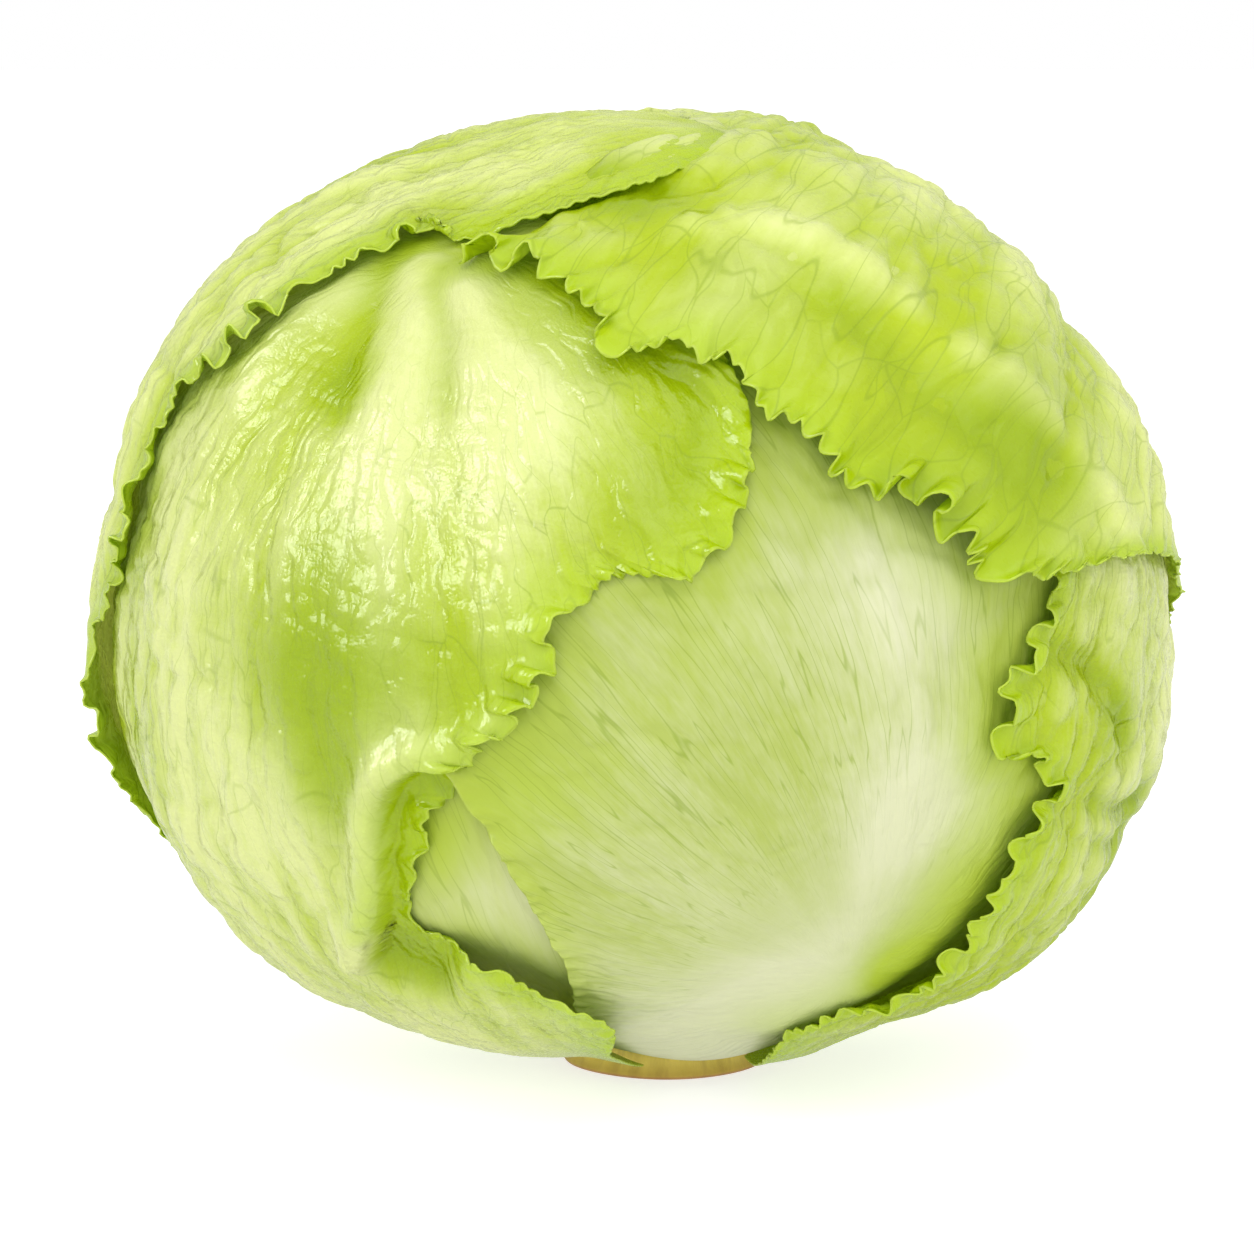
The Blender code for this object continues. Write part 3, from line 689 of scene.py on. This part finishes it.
# The front margins that show, from the stem to the tip: azimuth, elevation and height of the frill
edges = dict(
    leftLeaf=[(-6, -60, 0.3), (-3.5, -47, 0.6), (-7, -41.5, 1), (-12, -39, 1.2),
        (-17.5, -35.5, 1.2), (-23, -33.5, 0.7), (-30, -31.5, 0.3), (-25.5, -21.5, 0.9),
        (-22, -14.2, 1.4), (-17.4, -8.5, 2.4), (-12.5, -5, 2), (-9, 0, 2.4), (-7.5, 6, 1.5),
        (-1, 10.5, 2.2), (5, 10, 2), (10, 14.5, 1.4), (12.5, 21, 1.8), (13, 29, 0.6), (6, 42, 0.4)],
    rightLeaf=[(30, -60, 1), (26, -49, 1.6), (32, -44.5, 3.6), (38, -41.5, 4), (41.5, -36.5, 4),
        (43.5, -31, 2.6), (44.6, -25, 2.4), (46, -18.5, 2.4), (49.5, -15, 1.4), (45.3, -11.4, 2),
        (41.2, -9, 2.4), (42.5, -3, 2.6), (45, 1, 2), (48.5, 6.6, 1), (56, 20, 0.4), (68, 32, 0.4)],
    topLeftLeaf=[(-98, -60, 0.6), (-98, -42, 0.8), (-94, -30, 1.2), (-87, -19, 1.5),
        (-84, -12, 1.5), (-82, -4, 1), (-76, 3, 1), (-70, 9, 1.5), (-69, 18, 2), (-65, 25, 1.5),
        (-57, 30, 3), (-52, 36, 3), (-49, 42, 1.5), (-44, 47, 2), (-38, 51, 2), (-30, 50, 0.8),
        (-16, 55, 0.3), (8, 63, 0.3), (36, 71, 0.3)],
    topRightLeaf=[(106, -58, 0.8), (112, -38, 0.8), (110, -20, 0.8), (100, -6, 0.6), (86, 2, 0.4),
        (73, 6, 0.4), (60, 8, 0.5), (46, 7.7, 0.8), (39, 7.8, 5), (36, 10.5, 9), (33.5, 13.8, 7),
        (30, 17.2, 1.6), (25.5, 18.3, 6), (21, 19.6, 9), (18.5, 24, 7), (14, 27, 2.2), (13, 31, 4),
        (6, 34.2, 1.6), (-3, 33.5, 4), (-5, 38, 5.5), (-16, 45, 4.5), (-30, 47, 3)],
)

# The leaves. Each has two margins and a rib, outlined from the stem to the tip as (azimuth,
# elevation), with the height of the frill at each point of the front margin, and a flow of veins
# from one place to another. Pale and deep places are (azimuth, elevation, width, strength); the deep
# places are greener spots of the leaf's own and painted shade. Folds are (points, width, height), and
# under lists the margins above, with how far the painted shade under them reaches and, as fill,
# how much the leaf rises there. Grid is columns and rows, and focus says where along the leaf the
# rows crowd
innerLeftLeaf = dict(
    grid=(70, 150), innerStep=5, focus=(0.5, 1, 0), base=(34, -22, -66), radius=innerLeftRadius,
    front=[(24, -60, 0), (12, -35, 0), (11, -10, 0), (4, 14, 0), (-8, 30, 0)],
    rib=[(-34, -60), (-36, -35), (-35, -5), (-32, 34)],
    back=[(-74, -60), (-77, -35), (-76, -10), (-69, 12), (-56, 30)],
    backFrill=0.4, teeth=(0, 0), flow=((-12, -82), (-60, 40)),
    relief=dict(pleats=0.3, dents=0.3, cushions=0.15, small=0.06),
    tone=dict(streaks=0.4, patches=0.25, high=0.2),
    pale=[(-20, -45, 25, 0.7), (-14, -60, 12, 0.5)], deep=[(-22, -20, 8, 0.5)],
    under=[(edges["leftLeaf"][1:10], 7.0)], fill=1.6,
)
makeLeaf("innerLeftLeaf", innerLeftLeaf, materials["inner"], "leaf_inner_left")

frontLeaf = dict(
    grid=(140, 380), innerStep=5, focus=(0.3, 0.25, 0.5), base=(-20, 26, 74), radius=frontRadius,
    front=[(-12, -66, 0.5), (-10, -56, 1), (-10, -45, 1), (-10, -36, 1), (-13, -27, 1),
           (-17, -18, 1), (-22, -8, 0.5), (-26, 6, 0.3), (-24, 22, 0.3), (-8, 38, 0.3)],
    rib=[(31, -60), (32, -40), (31, -18), (31, 8), (28, 46)],
    back=[(78, -60), (80, -40), (80, -20), (76, 5), (58, 36)],
    backFrill=0.5, teeth=(1, 0), flow=((31, -39), (-78, 38)),
    relief=dict(pleats=0.6, dents=0.4, cushions=0.45, small=0.18),
    tone=dict(streaks=0.3, patches=0.15, high=0.3),
    pale=[(29, -46, 14, 1.2), (32, -18, 10, 0.8), (12, -62, 16, 1.1), (31, 8, 10, 0.7),
          (39, -14, 8, 0.5), (18, 12, 12, 0.1)],
    # The deep places to the right of the rib are painted shade in the hollow under the right leaf
    deep=[(45, -12, 7, 0.4), (42, -28, 7, 0.4), (44, 2, 6, 0.1), (38, -38, 5, 0.8), (-14, -14, 6, 0.5),
          (-8, -10, 9, 0.3), (8, 4, 8, 0.2)],
    under=[(edges["leftLeaf"][4:], 6.0), (edges["rightLeaf"][1:], 8.0),
           (edges["topRightLeaf"][6:18], 7.0)],
    fill=2.0,
)
makeLeaf("frontLeaf", frontLeaf, materials["front"], "leaf_front")

leftLeaf = dict(
    grid=(140, 480), innerStep=3, focus=(0.5, 0.3, 1), base=(-12, -64, -116), radius=leftRadius,
    front=edges["leftLeaf"],
    rib=[(-78, -60), (-84, -40), (-84, -15), (-80, 10), (-70, 36), (-48, 62)],
    back=[(-126, -60), (-129, -35), (-130, -10), (-128, 15), (-121, 38), (-104, 56)],
    backFrill=0.5, teeth=(1, 0), flow=((-33, 50), (-12, -80)),
    relief=dict(pleats=0.85, dents=0.75, cushions=0.5, small=0.32),
    tone=dict(streaks=0.55, patches=0.4, high=0.3),
    pale=[(-66, 20, 22, 0.5), (-34, -56, 12, 0.5), (-30, 40, 7, 0.5), (-26, 16, 12, 0.3),
          (-20, 28, 10, 0.4), (-12, 30, 8, 0.3), (-12, -72, 10, 0.6)],
    deep=[(-36, -2, 9, 1.0), (-33, -14, 6, 0.7), (-34, 10, 6, 0.4), (-40, 30, 4, 0.8), (3, 15, 8, 0.7),
          (6, 26, 7, 0.5), (-24, 0, 9, 0.5), (-14, -2, 6, 0.4), (-10, 38, 7, 0.3)],
    folds=[([(-44, 44.5), (-40.5, 34.5), (-38.8, 27)], 3.0, -1.3),
           ([(-33.5, 43), (-27, 36.5), (-24.5, 29)], 2.6, -1.0),
           ([(-37, 46), (-32, 37), (-31, 26)], 2.5, 0.8), ([(-26, 42), (-17, 35), (-12, 28)], 2.6, 0.8),
           ([(-46, 45), (-52, 36), (-54, 25)], 3.0, 0.9), ([(4, 33), (8, 27), (7, 21)], 3.5, -1.3)],
    # Paints light on the folded lip and shade on the panel sunk beside it
    panel=True,
    under=[(edges["topLeftLeaf"][3:16], 4.5), (edges["topRightLeaf"][14:], 5.0)], fill=0.6,
)
makeLeaf("leftLeaf", leftLeaf, materials["glossy"], "leaf_left")

rightLeaf = dict(
    grid=(110, 400), innerStep=5, focus=(0.45, 0.3, 1), base=(40, 82, 124), radius=rightRadius,
    front=edges["rightLeaf"],
    rib=[(86, -58), (87, -35), (86, -10), (87, 12), (88, 36)],
    back=[(124, -60), (126, -35), (126, -15), (122, 8), (108, 28)],
    backFrill=0.5, teeth=(1, 0), flow=((62, -80), (70, 45)),
    relief=dict(pleats=0.5, dents=0.8, cushions=0.8, small=0.3),
    tone=dict(streaks=0.2, patches=0.3, high=0.4),
    pale=[(90, -5, 17, 0.9), (64, 2, 10, 0.5), (72, -45, 20, -0.5)],
    deep=[(62, -10, 5, 0.6), (78, -22, 5, 0.6), (75, -32, 6, 0.4)],
    folds=[([(50, -1), (56.5, -3.7), (61.6, -7.8), (66, -12.7)], 2.5, -2.0),
           ([(62, -19), (70, -21), (79, -20)], 2.0, -1.5),
           ([(66, -24), (72, -25), (79, -24)], 2.0, -1.2)],
)
makeLeaf("rightLeaf", rightLeaf, materials["glossy"], "leaf_right")

backLeaf = dict(
    grid=(90, 200), innerStep=5, focus=(0.5, 1, 0), base=(142, 180, 218), radius=backRadius,
    front=[(135, -58, 0.5), (132, -35, 0.5), (131, -10, 0.5), (137, 12, 0.5), (152, 32, 0.5)],
    rib=[(180, -55), (180, -30), (180, 5), (180, 40)],
    back=[(222, -58), (224, -35), (224, -10), (220, 12), (208, 32)],
    backFrill=0.5, teeth=(0, 0), flow=((180, -82), (180, 75)),
    relief=dict(pleats=0.6, dents=0.4, cushions=0.4, small=0.15),
    tone=dict(streaks=0.5, patches=0.3, high=0.25),
    pale=[(180, -45, 25, 0.6)], deep=[],
)
makeLeaf("backLeaf", backLeaf, materials["glossy"], "leaf_back")

topLeftLeaf = dict(
    grid=(120, 460), innerStep=5, focus=(0.65, 0.3, 0.8), base=(-84, -122, -158), radius=topLeftRadius,
    front=edges["topLeftLeaf"],
    rib=[(-124, -60), (-120, -30), (-113, 0), (-106, 30), (-104, 56), (120, 86)],
    back=[(-159, -60), (-164, -30), (-168, 0), (-171, 28), (-176, 50), (170, 64)],
    backFrill=0.4, teeth=(1, 0), flow=((-120, -82), (60, 70)),
    relief=dict(pleats=0.9, dents=0.8, cushions=0.75, small=0.35),
    tone=dict(streaks=0.3, patches=0.4, high=0.45),
    pale=[(-84, 40, 16, 0.4), (-75, 26, 12, 0.1), (-45, 66, 10, 0.4), (-100, 0, 25, 0.4),
          (-110, -45, 25, 0.6), (-70, 55, 16, 0.4), (-63, 33, 9, 0.7), (-58, 47, 9, 0.6)],
    deep=[(-42, 52, 6, 0.3)],
)
makeLeaf("topLeftLeaf", topLeftLeaf, materials["topLeft"], "leaf_top_left")

topRightLeaf = dict(
    grid=(130, 560), innerStep=5, focus=(0.75, 0.22, 1.6), base=(98, 134, 168), radius=topRightRadius,
    front=edges["topRightLeaf"],
    rib=[(136, -58), (136, -30), (130, 0), (120, 28), (100, 56), (50, 82)],
    back=[(174, -58), (189, -32), (200, -6), (202, 22), (199, 46), (208, 66)],
    backFrill=1.5, teeth=(1, 1), tuck=2.5, flow=((150, 20), (-40, -50)),
    relief=dict(pleats=1.1, dents=0.9, cushions=0.8, small=0.35),
    tone=dict(streaks=0.3, patches=0.35, high=0.35),
    pale=[(100, 20, 24, 0.55), (70, 60, 14, 0.5), (90, 5, 14, 0.3), (130, -40, 30, 0.6),
          (10, 75, 12, 0.5), (-8, 48, 9, 0.3)],
    deep=[(30, 20, 8, 0.4), (0, 58, 6, 0.8), (-10, 61, 6, 0.6), (25, 36, 10, 0.4), (44, 17, 10, 0.9),
          (50, 28, 8, 0.4), (10, 44, 8, 0.3)],
    folds=[([(11, 52), (30, 48.6), (42, 34), (49, 26.5), (60, 11.5)], 3.5, 1.2),
           ([(29, 38), (37, 27), (46, 20), (56, 17)], 4.0, -1.2),
           ([(-24, 51.7), (-19, 57.5), (-8, 60), (3, 61.5)], 3.5, -2.0)],
)
makeLeaf("topRightLeaf", topRightLeaf, materials["outer"], "leaf_top_right")


# The heart: a ball whose surface steps down at each wrapped leaf's slanting edge
heartShape = dict(grid=(120, 64), leaves=5, step=0.9)
turnGrid, tiltGrid = np.meshgrid(np.linspace(0, 360, heartShape["grid"][0], endpoint=False),
                                 np.linspace(-74, 90, heartShape["grid"][1]))
heartDirections = direction(turnGrid, tiltGrid)
slant = turnGrid / 360 * heartShape["leaves"] + 1.1 * heartDirections[..., 2]
stepHeight = heartShape["step"] * (2 * (slant % 1) - 1) * (1 - np.abs(heartDirections[..., 2]) ** 4)
heartFlow = flowMap(heartDirections, (0, -80), (10, 80))
heartFlow = np.stack([heartFlow.real, np.cos(heartFlow.imag), np.sin(heartFlow.imag)], axis=-1) * 70
wrinkles = np.stack([heartFlow[..., 1] + heartFlow[..., 2], heartFlow[..., 0] / 3], axis=-1)
wrinkles = 0.35 * softNoise(wrinkles / 6, 31)
heartPoints = head["centre"] + heartDirections * (
    headRadius(heartDirections) - depths["heart"] + stepHeight + wrinkles)[..., None]
rows, columns = turnGrid.shape
index = np.arange(rows * columns).reshape(rows, columns)
wrapped = np.concatenate([index, index[:, :1]], axis=1)
bottom = rows * columns
heartFaces = gridFaces(wrapped[:-1]).tolist()
heartFaces += [[int(a), int(b), bottom + 1] for a, b in zip(wrapped[-2, :-1], wrapped[-2, 1:])]
heartFaces += [[int(b), int(a), bottom] for a, b in zip(wrapped[0, :-1], wrapped[0, 1:])]
lowest = heartPoints[0].mean(axis=0)
everyPoint = np.concatenate([heartPoints.reshape(-1, 3), [lowest], [heartPoints[-1, 0]]])
heartFlowAll = np.concatenate([heartFlow.reshape(-1, 3), [heartFlow[0, 0]], [heartFlow[-1, 0]]])
flat = np.tile((30.0, 0.6, 0.0), (len(everyPoint), 1))
heart = fillMesh("heartBall", everyPoint, heartFaces, dict(flow=heartFlowAll, tone=flat))
heart.data.materials.append(materials["inner"])
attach(heart, "root")
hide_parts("heart")
print("made heart")


# The stem: a profile turned round, a little out of round, fluted up its side
stemShape = dict(footRadius=16.5, topRadius=11.0, height=34.0, bevel=0.8)


def stemMaterial():
    # Tan fibrous side that browns towards the foot, and a cut face with a browned ring
    material = bpy.data.materials.new("cut stem")
    material.use_nodes = True
    tree = material.node_tree
    tree.nodes.clear()
    place = addNode(tree, "ShaderNodeTexCoord").outputs["Object"]
    parts = addNode(tree, "ShaderNodeSeparateXYZ", {0: place})
    stretch = addNode(tree, "ShaderNodeVectorMath", {0: place, 1: (420.0, 420.0, 60.0)},
                      operation="MULTIPLY")
    fibres = addNode(tree, "ShaderNodeTexNoise", {
        "Vector": stretch.outputs[0], "Scale": 1.0, "Detail": 4.0, "Roughness": 0.6})
    rise = maths(tree, "ADD", parts.outputs[2], maths(tree, "MULTIPLY", fibres.outputs["Fac"], 0.0016))
    level = addNode(tree, "ShaderNodeVectorMath", {0: place, 1: (1.0, 1.0, 0.0)}, operation="MULTIPLY")
    away = addNode(tree, "ShaderNodeVectorMath", {0: level.outputs[0]},
                   operation="LENGTH").outputs["Value"]
    colour = blendColour(tree, spread(tree, rise, 0.0012, 0.0042),
                         (0.46, 0.32, 0.03, 1), (0.76, 0.60, 0.10, 1))
    colour = blendColour(tree, spread(tree, rise, 0.0042, 0.0072), colour, (0.80, 0.73, 0.20, 1))
    cutColour = blendColour(tree, spread(tree, away, 0.006, 0.0155),
                            (0.66, 0.55, 0.30, 1), (0.36, 0.19, 0.05, 1))
    onCut = spread(tree, parts.outputs[2], 0.0002, 0.0008, 1.0, 0.0)
    colour = blendColour(tree, onCut, colour, cutColour)
    colour = blendColour(tree, spread(tree, fibres.outputs["Fac"], 0.4, 0.7, 0.0, 0.35), colour,
                         (0.22, 0.11, 0.03, 1))
    bump = addNode(tree, "ShaderNodeBump", {
        "Height": fibres.outputs["Fac"], "Strength": 0.6, "Distance": 0.0008})
    rough = spread(tree, fibres.outputs["Fac"], 0.3, 0.7, 0.55, 0.75)
    skin = addNode(tree, "ShaderNodeBsdfPrincipled", {
        "Base Color": colour, "Roughness": rough, "Normal": bump.outputs[0]})
    addNode(tree, "ShaderNodeOutputMaterial", {0: skin.outputs[0]})
    return material


profile = [(0.02, 0.0), (6.0, 0.0), (11.0, 0.0), (14.5, 0.0)]
bevelTurn = np.linspace(-90, 0, 7)
bevel = stemShape["bevel"]
profile += [(stemShape["footRadius"] + bevel * (np.cos(np.radians(a)) - 1),
             bevel * (np.sin(np.radians(a)) + 1)) for a in bevelTurn]
sideRise = np.linspace(0.06, 1, 26)
slope = stemShape["topRadius"] - stemShape["footRadius"]
profile += [(stemShape["footRadius"] + slope * r, stemShape["height"] * r) for r in sideRise]
profile += [(6.0, stemShape["height"]), (0.02, stemShape["height"])]
profile = np.array(profile)
turn = np.linspace(0, 2 * np.pi, 160, endpoint=False)
uneven = 1 - 0.012 * (1 + np.sin(3 * turn + 0.5)) - 0.008 * (1 + np.sin(5 * turn))
side = smoothStep((profile[:, 1] - 0.2) / 2)[:, None]
flutes = 1 - side * 0.012 * (1 + np.sin(23 * turn + 2 * np.sin(3 * turn)))[None]
ring = profile[:, :1] * uneven[None] * flutes
ringX, ringY = ring * np.cos(turn), ring * np.sin(turn)
cutFace = 0.12 * softNoise(np.stack([ringX, ringY], axis=-1) / 2.5, 41) + 0.12
dished = (profile[:, 1:] < 0.05) * (ring < 13.5) * cutFace
stemPoints = np.stack([ringX, ringY, profile[:, 1:] + dished], axis=-1)
rows, columns = ring.shape
index = np.arange(rows * columns).reshape(rows, columns)
wrapped = np.concatenate([index, index[:, :1]], axis=1)
stemFaces = gridFaces(wrapped).tolist() + [index[0, ::-1].tolist(), index[-1].tolist()]
stem = fillMesh("cutStem", stemPoints.reshape(-1, 3), stemFaces, {})
stem.data.materials.append(stemMaterial())
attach(stem, "root")
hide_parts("stem")
print("made stem")


# Floor, light and camera
studio = dict(floorSize=8.0, floorColour=(0.5, 0.5, 0.5, 1), floorGlow=0.68, world=1.0)
# Each light's azimuth, elevation, distance and size in metres, and power in watts
lights = dict(
    key=(-58, 30, 1.1, 0.6, 1.8), gloss=(-60, 24, 1.1, 0.55, 10.0), fill=(62, 25, 1.4, 1.0, 2.4),
    top=(15, 62, 1.2, 1.0, 5.6), front=(-5, 14, 1.3, 1.2, 5.2))
bpy.ops.mesh.primitive_plane_add(size=studio["floorSize"])
floor = bpy.context.object
floor.name = "floor"
floorMaterial = bpy.data.materials.new("pale floor")
floorMaterial.use_nodes = True
floorSkin = floorMaterial.node_tree.nodes["Principled BSDF"]
floorSkin.inputs["Base Color"].default_value = studio["floorColour"]
floorSkin.inputs["Roughness"].default_value = 0.9
floorSkin.inputs["Emission Color"].default_value = (1, 1, 1, 1)
floorSkin.inputs["Emission Strength"].default_value = studio["floorGlow"]
floorMaterial.cycles.emission_sampling = "NONE"
floor.data.materials.append(floorMaterial)

world = bpy.data.worlds.new("studio")
bpy.context.scene.world = world
world.use_nodes = True
world.node_tree.nodes["Background"].inputs["Color"].default_value = (1, 1, 1, 1)
world.node_tree.nodes["Background"].inputs["Strength"].default_value = studio["world"]


def addLight(name, azimuth, elevation, distance, size, power):
    # Square soft light that faces the head
    data = bpy.data.lights.new(name, "AREA")
    data.size = size
    data.energy = power
    light = bpy.data.objects.new(name, data)
    aim = Vector(head["centre"] * mm)
    light.location = aim + Vector(direction(azimuth, elevation)) * distance
    light.rotation_euler = (aim - light.location).to_track_quat("-Z", "Y").to_euler()
    bpy.context.scene.collection.objects.link(light)
    return light


made = {name: addLight(name, *settings) for name, settings in lights.items()}
made["gloss"].visible_diffuse = False          # it only makes highlights
made["gloss"].visible_transmission = False

# The photo's view: lens and sensor in mm, distance in metres, and how far right of and above the
# picture's centre the head's centre stands, in mm
view = dict(lens=135.0, sensor=36.0, elevation=9.0, distance=0.7427, right=1.57, up=5.81)
tilt = np.radians(view["elevation"])
backward = np.array([0, -np.cos(tilt), np.sin(tilt)])
upward = np.array([0, np.sin(tilt), np.cos(tilt)])
aim = (head["centre"] - np.array([1, 0, 0]) * view["right"] - upward * view["up"]) * mm
cameraData = bpy.data.cameras.new("camera")
cameraData.lens = view["lens"]
cameraData.sensor_width = view["sensor"]
camera = bpy.data.objects.new("camera", cameraData)
camera.location = Vector(aim + backward * view["distance"])
camera.rotation_euler = Vector(-backward).to_track_quat("-Z", "Y").to_euler()
bpy.context.scene.collection.objects.link(camera)
bpy.context.scene.camera = camera
bpy.context.scene.view_settings.view_transform = "Standard"
bpy.context.scene.cycles.max_bounces = 6
